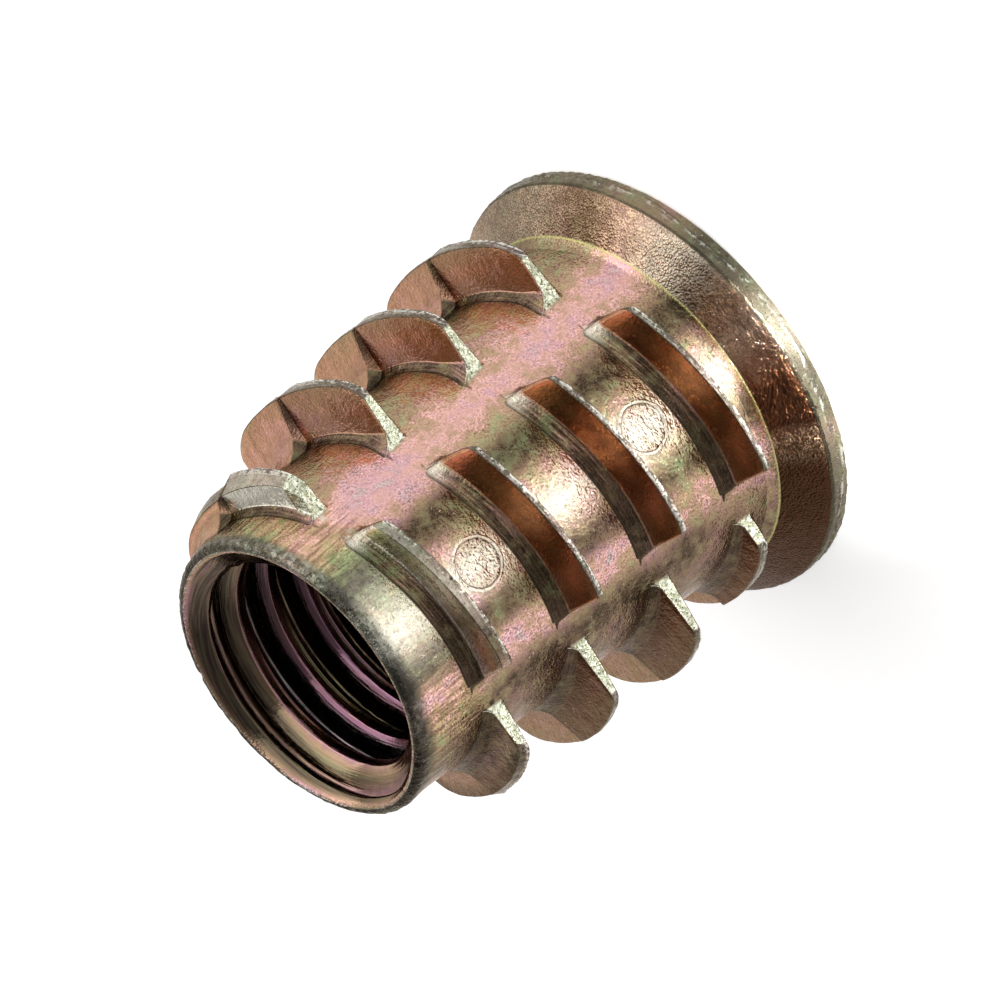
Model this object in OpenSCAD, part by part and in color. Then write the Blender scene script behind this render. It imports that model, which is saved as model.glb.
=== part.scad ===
// Threaded insert nut: one zinc die casting with a hex drive socket in its flange,
// a metric thread down the middle and an interrupted coarse thread outside.
// The flange face lies on z = 0 and the tip points along +Z.
// The two halves of the die part on the plane x = 0 and pull along +X and -X.

/* [Body] */
// Length from the flange face to the tip
insert_length = 15; // [14:0.5:18]
// Diameter of the body at the tip
tip_d = 8.68; // [8.6:0.02:8.9]
// Diameter of the body where it meets the flange
root_d = 10.4; // [10.2:0.1:11.2]
// Radius of the rounded outer corner of the tip
tip_corner_r = 0.24; // [0.1:0.02:0.28]

/* [Flange] */
// Diameter of the flange
flange_d = 13.3; // [12.8:0.1:15]
// Height of the rim round the flange
rim_h = 0.72; // [0.5:0.02:0.9]
// Rise of the sloping underside, from the rim to the body
underside_rise = 0.78; // [0.4:0.02:0.9]
// Width of the small flare round the body at the underside
neck_flare = 0.22; // [0.1:0.02:0.3]
// Radius of the rounded corners of the rim
rim_corner_r = 0.12; // [0.05:0.01:0.2]

/* [Machine thread] */
// Nominal diameter of the machine thread in the bore
thread_d = 8; // [7.6:0.1:8]
// Pitch of the machine thread
thread_pitch = 1.25; // [1:0.05:1.4]
// Diameter of the countersunk mouth at the tip
mouth_d = 8.04; // [7.8:0.02:8.1]
// Depth of the countersink at the tip
mouth_depth = 0.55; // [0.3:0.05:0.9]

/* [Drive socket] */
// Width across the flats of the hexagon
hex_width = 8; // [7.4:0.1:8.2]
// Depth of the hexagon below the flange face
hex_depth = 5; // [4.6:0.1:5.6]
// Diameter of the chamfered mouth of the hexagon
hex_mouth_d = 9.4; // [9:0.1:9.8]
// Depth of the cone between the hexagon and the thread
hex_floor_cone = 0.6; // [0.3:0.1:1]

/* [Outside thread] */
// Diameter over the thread where its taper meets the flange
crest_root_d = 13.36; // [12.8:0.02:13.6]
// Diameter that the same taper would have at the tip
crest_tip_d = 11.86; // [11.6:0.02:12.4]
// Diameter of the lead-in cone at the tip
lead_in_d = 9.1; // [9:0.1:9.8]
// Distance from the tip over which the lead-in cone runs
lead_in_length = 3.7; // [3:0.1:4.4]
// Diameter over the last fin, where the thread runs out at the flange
run_out_d = 11.9; // [11.4:0.1:12.8]
// Distance from one turn to the next
fin_pitch = 3.2; // [3.1:0.02:3.24]
// Number of turns
fin_turns = 4; // [2:1:4]
// Distance from the tip to the root of the first fin on the +X side
first_fin_drop = 1.85; // [1.8:0.05:2]

/* [Fin section] */
// Thickness of a fin at its root, without the fillet
fin_root_w = 0.46; // [0.4:0.02:0.6]
// Thickness of a fin at its crest
fin_crest_w = 0.2; // [0.16:0.02:0.3]
// Draft angle of the flank that faces the tip
tip_flank_draft = 2.6; // [1:0.2:4]
// Radius of the fillet at the root, on the side of the tip
fin_fillet_r = 0.25; // [0.16:0.01:0.3]

/* [Fin ends] */
// Half of the angle that a middle fin covers at its root
middle_half_angle = 35; // [30:1:38]
// Angle from the +X pull direction to the near end of a side fin
side_start_angle = 49.5; // [46:0.5:54]
// Angle from the -X pull direction to the far end of a side fin
far_start_angle = 53; // [50:0.5:56]

/* [Hidden] */
$fn = 96;

// How far a cutting solid runs past the face that it cuts
overrun = 0.2;
// How deep the foot of a fin is buried in the body
bury = 0.6;
// Steps in the arc of a fillet or a rounded corner
arc_steps = 4;
// Angle at which the arc of a fin's fillet starts at the body
toe_angle = 200;
// Angle that a fin's ring covers before its ends are cut
ring_angle = 110;
// Distance that the top of the first fin stays below the tip
tip_margin = 0.15;

// Height of the underside where it meets the body
neck_z = rim_h + underside_rise;
// The crest of a nut's metric thread stands 5/8 of the sharp thread's height inside the nominal
sharp_thread_h = thread_pitch * sqrt(3) / 2;
bore_d = thread_d - 2 * sharp_thread_h * 5 / 8;
// Angle at which the outside thread climbs, at the body's mean diameter
fin_tilt = atan(fin_pitch / (PI * (root_d + tip_d) / 2));
// Climb of the outside thread along a side fin, from its near end to the parting plane
side_climb = fin_pitch * (90 - side_start_angle) / 360;

// Value at height z on a straight taper from a at the flange to b at the tip
function taper(z, a, b) = a + (b - a) * (z - neck_z) / (insert_length - neck_z);

// Radius of the body at height z
function body_r(z) = taper(z, root_d, tip_d) / 2;

// Radius over the full outside thread at height z
function crest_r(z) = taper(z, crest_root_d, crest_tip_d) / 2;

// Points of an arc about the point c, from angle a0 to angle a1
function arc(c, r, a0, a1) =
    [for (i = [0 : arc_steps]) let (a = a0 + (a1 - a0) * i / arc_steps) c + r * [cos(a), sin(a)]];

// Outline of the body and its flange, as radius and height
function body_outline() = concat(
    [[0, 0]],
    arc([flange_d / 2 - rim_corner_r, rim_corner_r], rim_corner_r, -90, 0),
    arc([flange_d / 2 - rim_corner_r, rim_h - rim_corner_r], rim_corner_r, 0, 60),
    [[root_d / 2 + neck_flare, neck_z]],
    [[body_r(neck_z + neck_flare), neck_z + neck_flare]],
    arc([tip_d / 2 - tip_corner_r, insert_length - tip_corner_r], tip_corner_r, 0, 90),
    [[0, insert_length]]
);

// Section of a fin as radius and height, with the toe of its fillet near height 0.
// Both flanks run on straight into the body. The fillet starts a little steep, so that it
// meets the tapered body along a clean line.
// extra_tip and extra_flange thicken the side that another ring will trim.
function fin_section(root_r, extra_tip = 0, extra_flange = 0) =
    let (
        top_r = crest_root_d / 2 + overrun,
        foot_r = root_r - bury,
        tip_lean = tan(tip_flank_draft),
        flange_lean = tip_lean - (fin_root_w - fin_crest_w) / (crest_r(neck_z) - body_r(neck_z)),
        tip_side = extra_tip - fin_fillet_r,
        flange_side = -extra_flange - fin_fillet_r - fin_root_w
    )
    concat(
        [[foot_r, flange_side + bury * flange_lean], [foot_r, extra_tip + bury]],
        arc([root_r + fin_fillet_r, extra_tip], fin_fillet_r, toe_angle, 270),
        [[top_r, tip_side - (top_r - root_r) * tip_lean]],
        [[top_r, flange_side - (top_r - root_r) * flange_lean]]
    );

// Part of a ring with a fin's section, its middle turned to the angle facing
module fin_ring(root_r, facing, extra_tip = 0, extra_flange = 0) {
    rotate([0, 0, facing - ring_angle / 2])
        rotate_extrude(angle = ring_angle)
            polygon(fin_section(root_r, extra_tip, extra_flange));
}

// A fin in the middle of the +X half of the die, with its ends parallel to the pull
module middle_fin(z) {
    end_y = body_r(z) * sin(middle_half_angle);
    intersection() {
        translate([0, 0, z])
            rotate([fin_tilt, 0, 0])
                fin_ring(body_r(z), 0);
        translate([0, -end_y, 0])
            cube([flange_d, 2 * end_y, 2 * insert_length]);
    }
}

// The half of a +Y side fin that the +X die forms.
// Its tip flank climbs with the thread, and its other flank is square to the axis.
module climbing_side_fin(z, start_angle) {
    end_x = body_r(z) * cos(start_angle);
    intersection() {
        translate([0, 0, z])
            rotate([0, fin_tilt, 0])
                fin_ring(body_r(z), 90, 0, 2 * side_climb);
        translate([0, 0, z - side_climb])
            fin_ring(body_r(z), 90, 3 * side_climb, 0);
        cube([end_x, flange_d, 2 * insert_length]);
    }
}

// The half of a -Y side fin that the +X die forms.
// Its tip flank is square to the axis, and its other flank climbs with the thread.
module level_side_fin(z, start_angle) {
    end_x = body_r(z) * cos(start_angle);
    intersection() {
        translate([0, 0, z + side_climb])
            fin_ring(body_r(z), -90, 0, 3 * side_climb);
        translate([0, 0, z])
            rotate([0, -fin_tilt, 0])
                fin_ring(body_r(z), -90, 2 * side_climb, 0);
        translate([0, -flange_d, 0])
            cube([end_x, flange_d, 2 * insert_length]);
    }
}

// The fins of one turn: a middle fin on each die and a side fin across each parting line
module turn_of_fins(z) {
    middle_fin(z);
    climbing_side_fin(z + fin_pitch / 4, side_start_angle);
    rotate([0, 0, 180]) {
        middle_fin(z + fin_pitch / 2);
        level_side_fin(z + fin_pitch / 4, far_start_angle);
    }
}

// The side fin that closes a turn, on the -Y side
module closing_side_fin(z) {
    level_side_fin(z - fin_pitch / 4, side_start_angle);
    rotate([0, 0, 180])
        climbing_side_fin(z - fin_pitch / 4, far_start_angle);
}

// Solid that trims the crests: a slow taper, then a lead-in cone at the tip
module crest_envelope() {
    lead_z = insert_length - lead_in_length;
    top_z = insert_length - tip_margin;
    top_r = lead_in_d / 2 + (crest_r(lead_z) - lead_in_d / 2) * tip_margin / lead_in_length;
    rotate_extrude()
        polygon([[0, neck_z], [crest_r(neck_z), neck_z], [crest_r(lead_z), lead_z], [top_r, top_z], [0, top_z]]);
}

module outside_thread() {
    first_z = insert_length - first_fin_drop;
    last_z = first_z - fin_pitch * (fin_turns - 1);
    intersection() {
        crest_envelope();
        union() {
            for (i = [0 : fin_turns - 1])
                turn_of_fins(first_z - fin_pitch * i);
            for (i = [0 : fin_turns - 2])
                closing_side_fin(first_z - fin_pitch * i);
        }
    }
    // The last side fin is lower, where the thread runs out
    intersection() {
        cylinder(d = run_out_d, h = insert_length);
        closing_side_fin(last_z);
    }
}

// The bore at the thread's crest, with its countersink at the tip and its cone at the socket
module bore() {
    cylinder(d = bore_d, h = insert_length + overrun);
    translate([0, 0, insert_length - mouth_depth])
        cylinder(d1 = bore_d, d2 = mouth_d, h = mouth_depth);
    translate([0, 0, hex_depth])
        cylinder(d1 = bore_d + 2 * hex_floor_cone, d2 = bore_d, h = hex_floor_cone);
}

// The hexagon for the key, open at the flange face, with a cone round its mouth
module drive_socket() {
    translate([0, 0, -overrun])
        cylinder(d = hex_width / cos(30), h = hex_depth + overrun, $fn = 6);
    cylinder(d1 = hex_mouth_d, d2 = bore_d, h = (hex_mouth_d - bore_d) / 2);
}

module threaded_insert() {
    color("#a8957a")
    difference() {
        union() {
            rotate_extrude() polygon(body_outline());
            outside_thread();
        }
        bore();
        drive_socket();
    }
}

threaded_insert();
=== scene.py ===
# %% [markdown]
# # A cast threaded insert
# This lesson dresses one small casting: an insert nut for wood. A zinc alloy was shot into a
# steel die, the two die halves were pulled apart to the left and right, a thread was tapped
# down the middle, and the piece was dipped in a yellow chromate that shimmers pink and green.
# The CAD model is loaded first. It fixes the size and the place of everything that follows.

# %% The frame
import bpy
import numpy as np
from mathutils import Matrix, Vector


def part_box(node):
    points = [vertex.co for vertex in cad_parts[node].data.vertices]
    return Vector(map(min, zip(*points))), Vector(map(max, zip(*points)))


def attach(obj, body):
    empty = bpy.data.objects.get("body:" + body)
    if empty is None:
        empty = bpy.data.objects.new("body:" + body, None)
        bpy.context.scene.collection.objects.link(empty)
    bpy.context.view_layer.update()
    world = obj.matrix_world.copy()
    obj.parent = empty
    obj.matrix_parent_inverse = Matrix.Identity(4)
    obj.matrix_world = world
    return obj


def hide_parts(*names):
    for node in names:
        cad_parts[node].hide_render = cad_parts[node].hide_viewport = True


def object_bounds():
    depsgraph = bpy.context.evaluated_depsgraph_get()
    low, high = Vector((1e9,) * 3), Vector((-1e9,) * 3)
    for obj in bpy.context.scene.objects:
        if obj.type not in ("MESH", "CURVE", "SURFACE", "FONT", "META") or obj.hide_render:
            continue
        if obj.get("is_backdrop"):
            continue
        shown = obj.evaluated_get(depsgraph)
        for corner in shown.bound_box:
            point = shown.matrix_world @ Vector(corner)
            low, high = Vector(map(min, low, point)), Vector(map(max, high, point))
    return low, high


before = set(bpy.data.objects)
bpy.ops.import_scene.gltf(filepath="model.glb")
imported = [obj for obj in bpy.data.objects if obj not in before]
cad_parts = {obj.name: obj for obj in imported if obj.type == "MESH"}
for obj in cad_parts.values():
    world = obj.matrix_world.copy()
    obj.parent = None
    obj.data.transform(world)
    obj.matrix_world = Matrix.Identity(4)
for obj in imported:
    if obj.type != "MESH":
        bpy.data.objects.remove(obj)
NODE = "threaded_insert"
cad_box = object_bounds()
low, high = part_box(NODE)
MM = 0.001
LENGTH = (high.z - low.z) / MM
FLANGE_R = (high.x - low.x) / MM / 2
scene = bpy.context.scene
print(f"insert {LENGTH:.2f} mm long, flange {2 * FLANGE_R:.2f} mm across")

def show(name, data):
    """A new object of a mesh, a camera or a lamp, linked to the scene."""
    made = bpy.data.objects.new(name, data)
    scene.collection.objects.link(made)
    return made

# %% [markdown]
# ## The camera
# The insert stands on its flange, and the camera looks down at it a little and is rolled over,
# so that the tip points to the lower left of the picture. A long lens keeps the perspective of
# a small thing seen from a hand's length away. The camera is placed by angles round a target
# point on the insert, because angles are easier to think about than coordinates.

# %% Camera
VIEW_AZIMUTH = 8.54       # degrees from +X towards +Y
VIEW_ELEVATION = 31.68    # degrees above the floor
VIEW_ROLL = 129.84        # degrees that the picture's up leans over to its right
VIEW_DISTANCE = 269.45 * MM
VIEW_TARGET = Vector((0.378, 0.281, 6.826)) * MM
LENS = 360.0

def towards(azimuth, elevation):
    """Unit vector that points azimuth degrees from +X towards +Y and elevation degrees up."""
    a, e = np.radians(azimuth), np.radians(elevation)
    return Vector((np.cos(a) * np.cos(e), np.sin(a) * np.cos(e), np.sin(e)))

camera_data = bpy.data.cameras.new("camera")
camera_data.lens, camera_data.clip_start, camera_data.clip_end = LENS, 0.01, 10.0
camera = show("camera", camera_data)
back = towards(VIEW_AZIMUTH, VIEW_ELEVATION)
upright = back.to_track_quat("Z", "Y").to_matrix()
rolled = upright @ Matrix.Rotation(np.radians(-VIEW_ROLL), 3, "Z")
camera.matrix_world = Matrix.Translation(VIEW_TARGET + back * VIEW_DISTANCE) @ rolled.to_4x4()
scene.camera = camera
print("camera at", [round(c / MM, 1) for c in camera.location])

# %% [markdown]
# ## Radii of the casting
# Nearly every face of the insert is round about the axis, so the whole shape can be told as
# radii that depend on the height: the tapered body, the taper over the fins, and the cone
# that leads the first fins into the wood.

# %% Heights and radii in millimetres
ROOT_R, TIP_R, NECK_Z, FLARE = 5.2, 4.34, 1.5, 0.22
CREST_ROOT_R, CREST_TIP_R = 6.68, 5.93
LEAD_IN_R, LEAD_IN_LENGTH = 4.55, 3.7
TIP_CORNER, MOUTH_R = 0.24, 4.02

def taper(z, a, b):
    """Straight line from a at the neck to b at the tip, read at height z."""
    return a + (b - a) * (z - NECK_Z) / (LENGTH - NECK_Z)

def body_radius(z):
    """Radius of the bare body at height z."""
    return taper(z, ROOT_R, TIP_R)

def crest_radius(z):
    """Radius over the fins: the lower of a slow taper and the lead-in cone at the tip."""
    lead_z = LENGTH - LEAD_IN_LENGTH
    top = taper(lead_z, CREST_ROOT_R, CREST_TIP_R)
    cone = LEAD_IN_R + (top - LEAD_IN_R) * (LENGTH - z) / LEAD_IN_LENGTH
    return np.minimum(taper(z, CREST_ROOT_R, CREST_TIP_R), cone)

def smooth(x):
    """Smooth step: 0 below 0, 1 above 1, and 3x^2 - 2x^3 between."""
    x = np.clip(x, 0.0, 1.0)
    return x * x * (3 - 2 * x)

for z in (2.0, 13.0):
    print(f"radius at z = {z}: body {body_radius(z):.2f}, over the fins {crest_radius(z):.2f}")

# %% [markdown]
# ## Columns round the insert
# The outside is one net of rows and columns. Every fin ends on a wall that is parallel to the
# pull of the die, so a column keeps a constant distance from the pull's plane instead of a
# constant angle. Each sector of fins faces one of four ways. Near a wall the columns crowd
# together: some go round its edge, one foots it, and the last carry a small fillet onto the
# body. A side fin also has two columns close together at the parting plane, where it has a step.

# %% Columns
MIDDLE_END, NEAR_END, FAR_END = 35.0, 40.5, 37.0    # degrees from a sector's middle to its walls
SECTORS = ((0, -MIDDLE_END, MIDDLE_END), (90, -NEAR_END, FAR_END),
           (180, -MIDDLE_END, MIDDLE_END), (270, -FAR_END, NEAR_END))
NEAR_EDGE_R, END_EDGE_R, WALL_EDGE_R = 0.16, 0.06, 0.045     # rounding of the fins' ends
EDGE_INSETS = np.array([2.2, 1.0, 0.62, 0.31, 0.09, 0.0])
FOOT_INSETS = np.array([-0.012, -0.035, -0.08, -0.14])
NO_LIMIT = 9.0     # millimetres, more than any height or distance on a fin
EDGE_CAPS = np.append(np.full(6, NO_LIMIT), [0.13, 0.055, 0.015, 0.0])
STEP = 0.95        # degrees between columns on a fin
GAP_COLUMNS = 7

def spaced(a, b):
    """Angles from a to b, about STEP apart."""
    return np.linspace(a, b, int(round((b - a) / STEP)) + 1)

def sector_columns(facing, start, end):
    """Columns of one sector as rows of (facing, angle, side, inset, cap).
    angle is measured at the body from the way the sector faces; inset is the distance inside
    the end wall; cap is the height above the body at which the column stays."""
    if facing % 180:
        inner = np.concatenate((spaced(start + 2.2, -0.4), [-0.13, 0.13], spaced(0.4, end - 2.2)))
        edges = WALL_EDGE_R, WALL_EDGE_R
    else:
        inner = spaced(start + 2.6, end - 5.6)
        edges = END_EDGE_R, NEAR_EDGE_R
    first, last = (np.concatenate((EDGE_INSETS * edge, FOOT_INSETS)) for edge in edges)
    n, m = len(first), len(inner)
    angle = np.concatenate((np.full(n, start), inner, np.full(n, end)))
    side = np.repeat([-1.0, 0.0, 1.0], [n, m, n])
    inset = np.concatenate((first[::-1], np.full(m, NO_LIMIT), last))
    cap = np.concatenate((EDGE_CAPS[::-1], np.full(m, NO_LIMIT), EDGE_CAPS))
    return np.column_stack((np.full(len(angle), facing), angle, side, inset, cap))

table, mix = [], []
for number, sector in enumerate(SECTORS):
    own = sector_columns(*sector)
    table += [own, np.zeros((GAP_COLUMNS, 5))]
    mix += [np.full(len(own), -1.0), np.arange(1, GAP_COLUMNS + 1) / (GAP_COLUMNS + 1)]
facing, foot_angle, side, inset, cap = np.vstack(table).T
mix = np.concatenate(mix)
COLUMNS = len(mix)
is_middle = facing % 180 == 0        # the fins that face the pull, and the bare strips
fins = np.flatnonzero(mix < 0)       # columns that belong to a sector
gaps = np.flatnonzero(mix >= 0)      # columns on the bare strips between sectors
before = fins[np.searchsorted(fins, gaps) - 1]
after = fins[np.searchsorted(fins, gaps) % len(fins)]
print(COLUMNS, "columns,", len(gaps), "of them on bare strips")

# %% [markdown]
# ## Rows over one level of fins
# A level is one turn of the thread. Nineteen rows go over each fin: up the fillet on the
# side of the tip, along the tip flank, round the crest and down to the flange side. The tip
# flank of a middle fin climbs with the thread. A side fin is cut by the parting plane: one
# half climbs with the thread on the tip side, and the other half is level there, because each
# die half has to slide out of its own half. The level half leans back towards its crest, so
# the step at the parting plane is tall at the root and closes at the crest.

# %% Measures of the fins
LEVELS, FIN_ROWS = 4, 19
PITCH, FIN_TILT, CLIMB = 3.2, np.radians(6.09), 0.36
FIRST_Z = LENGTH - 1.85
HIGHEST_Z, LOWEST_Z, ROW_GAP = 14.74, 1.78, 0.002
FILLET, SIDE_FILLET, STEP_FILLET, FOOT_FILLET, FIN_ROOT_W = 0.25, 0.17, 0.33, 0.07, 0.46
LEAN, RISE = 0.0454, 0.13
BENCH = 0.17       # how much wider than high the fillet of a middle fin is
SIDE_BENCH = 0.4 * BENCH
FAN = 0.22         # what the fillet grows by at the near end of a fin that faces +Y
CREST_EDGE, CREST_W = 0.035, 0.08
FIRST_DIP = 0.17   # how much lower the first fin that faces -Y is at the parting plane
RUN_OUT_R = 5.95   # radius of the last fin, where the thread runs out
SHIFT = np.array([0.0, 0.8, 1.6, -0.8])[(facing // 90).astype(int)]     # the thread's climb
sine = np.sin(np.radians(foot_angle))
print("levels of fins at", [round(FIRST_Z - PITCH * n, 2) for n in range(LEVELS)], "mm")

# %% Edges and fillets
# tucked is how far a column lies inside the fin's faces, where it goes round a wall's edge
edge_r = np.where(is_middle, np.where(side > 0, NEAR_EDGE_R, END_EDGE_R), WALL_EDGE_R)
tucked = edge_r - np.sqrt(edge_r ** 2 - np.clip(edge_r - inset, 0, edge_r) ** 2)

def fillet_curve(t):
    """Height and width of the fillet at t from its toe, 0, to the flank, 1, both from 0 to 1:
    halfway between a quarter circle and a straight line, so that both of its edges show."""
    a = t * np.pi / 2
    return (1 - np.cos(a) + t) / 2, (np.sin(a) + t) / 2

def body_lat(z):
    """Distance from the pull's plane that each column keeps on the body at height z."""
    return body_radius(z) * sine - side * inset

print("edges are rounded by up to", edge_r.max(), "mm")

# %% Rows of one level
def fin_level(level):
    """Height above the body, z, distance from the pull's plane, and where a cap holds, for the
    rows over one level, as arrays of rows by columns. The fillet is fillet_curve, the
    flanks are straight lines in (h, z), the crest follows crest_radius, and every corner is
    a small arc. A column with a cap keeps h at the cap, and spreads its rows over the wall."""
    zs = FIRST_Z - PITCH * level + SHIFT
    ref = body_radius(zs)
    lat = body_lat(zs)
    is_level = ~is_middle & (lat > 0)
    climb = lat * np.tan(FIN_TILT)
    near = np.where(facing == 270, NEAR_END, FAR_END)
    step = np.where(is_level, 1 - lat / (ref * np.sin(np.radians(near))), 0.0)
    step = np.clip(step, 0, 1)
    top = zs - FILLET + np.where(is_level, CLIMB, climb) - tucked
    bottom = zs - FILLET - FIN_ROOT_W + np.where(is_middle | is_level, climb, -CLIMB) + tucked
    lean = LEAN + step * CLIMB / (crest_radius(zs) - ref)
    f = np.where(is_middle, FILLET, SIDE_FILLET) + STEP_FILLET * step
    far = ~is_middle & ((lat > 0) == (facing == 90))

    def from_wall(chosen, angle):
        """Distance from the wall at angle in the chosen columns."""
        return np.where(chosen, ref * np.sin(np.radians(angle)) - np.abs(lat), NO_LIMIT)

    def rounded(distance, reach, depth):
        """How far a crest drops near a wall: an arc that is reach long and depth deep."""
        return depth * (1 - np.sqrt(1 - np.clip(1 - distance / reach, 0, 1) ** 2))

    from_near = from_wall(~is_middle & ~far, NEAR_END)
    near_reach = np.where(facing == 90, 0.8, 0.4)
    drop = tucked + rounded(from_wall(far, FAR_END), 0.9, 0.45)
    drop += rounded(from_near, near_reach, 0.35 * near_reach)
    drop += rounded(from_wall(is_middle, MIDDLE_END), 0.35, 0.12)
    run_out = np.where((facing == 270) & (level == LEVELS - 1), RUN_OUT_R, NO_LIMIT)

    def crest_height(z):
        return np.minimum(crest_radius(z), run_out) - body_radius(z) - drop

    def tip_flank(h):
        return top - (h - FILLET) * lean

    def flange_flank(h):
        return bottom + h * RISE

    thin = (tip_flank(0) - flange_flank(0) - CREST_W) / (lean + RISE)
    h_tip = np.minimum(crest_height(tip_flank(1.0)), thin)
    h_tip = np.minimum(crest_height(tip_flank(h_tip)), thin)
    h_flange = np.minimum(crest_height(flange_flank(h_tip)), thin)
    if level == 0:      # the first fin that faces -Y slopes down to the parting plane
        dip = FIRST_DIP * np.clip(1 - np.abs(lat) / 0.5, 0, 1)
        h_flange -= np.where((facing == 270) & far, dip, 0.0)
    else:
        f += np.where(facing == 90, FAN * np.clip(1 - from_near / 0.9, 0, 1) ** 1.5, 0.0)
    f = np.minimum(f, np.maximum(0.6 * h_tip, SIDE_FILLET))
    rho = np.minimum(CREST_EDGE, 0.3 * (tip_flank(h_tip) - flange_flank(h_flange)))
    wide = f + np.where(is_middle, BENCH, SIDE_BENCH)
    toe = tip_flank(f) + wide
    g = FOOT_FILLET
    foot = flange_flank(g) - g
    h, z = np.zeros((FIN_ROWS, COLUMNS)), np.zeros((FIN_ROWS, COLUMNS))
    for k, t in enumerate((0, 0.16, 0.5, 0.84, 1)):
        up, along = fillet_curve(t)
        h[k], z[k] = f * up, toe - wide * along
    h[5] = (f + h_tip) / 2
    h[6] = h_tip - rho
    z[5], z[6] = tip_flank(h[5]), tip_flank(h[6])
    h[14] = h_flange - rho
    h[15] = (g + h_flange) / 2
    z[14], z[15] = flange_flank(h[14]), flange_flank(h[15])
    for k, a in enumerate(np.radians([30, 60, 90]), 1):
        h[6 + k], z[6 + k] = h[6] + rho * np.sin(a), z[6] - rho * (1 - np.cos(a))
        h[14 - k], z[14 - k] = h[14] + rho * np.sin(a), z[14] + rho * (1 - np.cos(a))
    h[10], z[10] = (h[9] + h[11]) / 2, (z[9] + z[11]) / 2
    for k, a in enumerate(np.radians([90, 45, 0]), 16):
        h[k], z[k] = g * (1 - np.cos(a)), foot + g * np.sin(a)
    # A capped column lies on the wall: its rows above the cap are spread from flank to flank
    w = np.minimum(cap, f)
    low_w = np.minimum(cap, g)
    on_tip = toe - wide * np.interp(w / f, *fillet_curve(np.linspace(0, 1, 60)))
    on_foot = foot + np.sqrt(np.maximum(g ** 2 - (g - low_w) ** 2, 0))
    on_flange = np.where(cap < g, on_foot, flange_flank(w))
    over = (h > cap) | ((cap == 0) & (h > 0))
    share = np.cumsum(over, axis=0) / (over.sum(axis=0) + 1)
    z = np.where(over, on_tip + (on_flange - on_tip) * share, z)
    h = np.where(over, cap, h)
    order = np.arange(FIN_ROWS)[:, None]
    z = np.minimum(z, HIGHEST_Z - ROW_GAP * order)
    z = np.maximum(z, LOWEST_Z + ROW_GAP * (FIN_ROWS - 1 - order))
    return h, z, np.broadcast_to(lat, h.shape), over

levels = [fin_level(n) for n in range(LEVELS)]
print("crest of the first front fin at", levels[0][0][10][fins[40]].round(3), "mm above the body")

# %% [markdown]
# ## The whole outside
# Between the levels the rows run over bare body, and at the flange and the tip they are
# plain rings. Each row is kept as radius, height and angle.

# %% Keeping rows
RIM_H, RIM_CORNER = 0.72, 0.12
rows_r, rows_z, rows_a, rows_kind = [], [], [], []

def add_rows(r, z, lat, kind):
    """Keep rows. lat is the distance from the pull's plane: the angle is asin(lat / r)."""
    a = facing + np.degrees(np.arcsin(np.clip(lat / r, -1, 1)))
    rows_r.append(r), rows_z.append(z), rows_a.append(a)
    rows_kind.extend([kind] * len(r) if isinstance(kind, str) else kind)

def add_rings(r, z, kind):
    """Keep level rings. Each column stays at the angle that it has on the body."""
    r, z = np.array(r, float)[:, None], np.array(z, float)[:, None]
    ref = np.clip(body_radius(z), TIP_R, ROOT_R)
    share = sine - side * inset / ref
    add_rows(np.broadcast_to(r, share.shape), np.broadcast_to(z, share.shape), r * share, kind)

def add_corner(r, z, size, angles, kind):
    """Keep the rings round a corner, an arc with its centre at radius r and height z."""
    add_rings(r + size * np.cos(angles), z + size * np.sin(angles), kind)

def add_body(z_from, z_to, lat_from, lat_to, count):
    """Keep count rows of bare body between two rows, the last close to the second."""
    t = (np.arange(1, count + 1) / count)[:, None]
    z = z_from + (z_to + np.minimum(0.05, 0.4 * (z_from - z_to)) - z_from) * t
    add_rows(body_radius(z), z, lat_from + (lat_to - lat_from) * t, "body")

print("flange rim", RIM_H, "mm high, with corners of", RIM_CORNER)

# %% Tip, fins and body
BODY_ROWS = (5, 20, 7, 20)      # rows of bare body before each level of fins
turn_down = np.radians([90, 72, 54, 36, 18, 0])
add_rings([MOUTH_R + 0.05], [LENGTH], "tip")
add_corner(TIP_R - TIP_CORNER, LENGTH - TIP_CORNER, TIP_CORNER, turn_down, "tip")
# A fin's rows 0 to 3 are its fillet, 4 to 6 its flank, 7 to 13 its crest and 14 to 18 its back
fin_kinds = ["fillet"] * 4 + ["flank"] * 3 + ["crest"] * 7 + ["back"] * 5
above, lat_above, wall_rows = LENGTH - TIP_CORNER, body_lat(LENGTH - TIP_CORNER), []
for n, (h, z, lat, over) in enumerate(levels):
    add_body(above, z[0], lat_above, lat[0], BODY_ROWS[n])
    wall_rows.append((len(rows_kind), over))
    add_rows(body_radius(z) + h, z, lat, fin_kinds)
    above, lat_above = z[-1], lat[0]
print("fins start at rows", [first for first, over in wall_rows])

# %% Neck and flange
neck_r, neck_z = ROOT_R + FLARE, NECK_Z + FLARE
add_body(above, neck_z, lat_above, body_lat(neck_z), 5)
add_rings([body_radius(neck_z), neck_r - 0.04], [neck_z, NECK_Z + 0.04], "neck")
add_rings([neck_r], [NECK_Z + 0.005], "line")
turn_in = np.radians([60, 30, 0])
under_r = np.linspace(neck_r + 0.03, FLANGE_R - RIM_CORNER + RIM_CORNER * 0.5 - 0.03, 8)
under_t = (under_r - ROOT_R - FLARE) / (FLANGE_R - 0.5 * RIM_CORNER - ROOT_R - FLARE)
under_z = NECK_Z + (RIM_H - RIM_CORNER * (1 - np.sin(np.radians(60))) - NECK_Z) * under_t
add_rings(under_r, under_z, "under")
add_corner(FLANGE_R - RIM_CORNER, RIM_H - RIM_CORNER, RIM_CORNER, turn_in, "rim")
add_rings([FLANGE_R] * 11, np.linspace(0.57, 0.15, 11), "rim")
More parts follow.
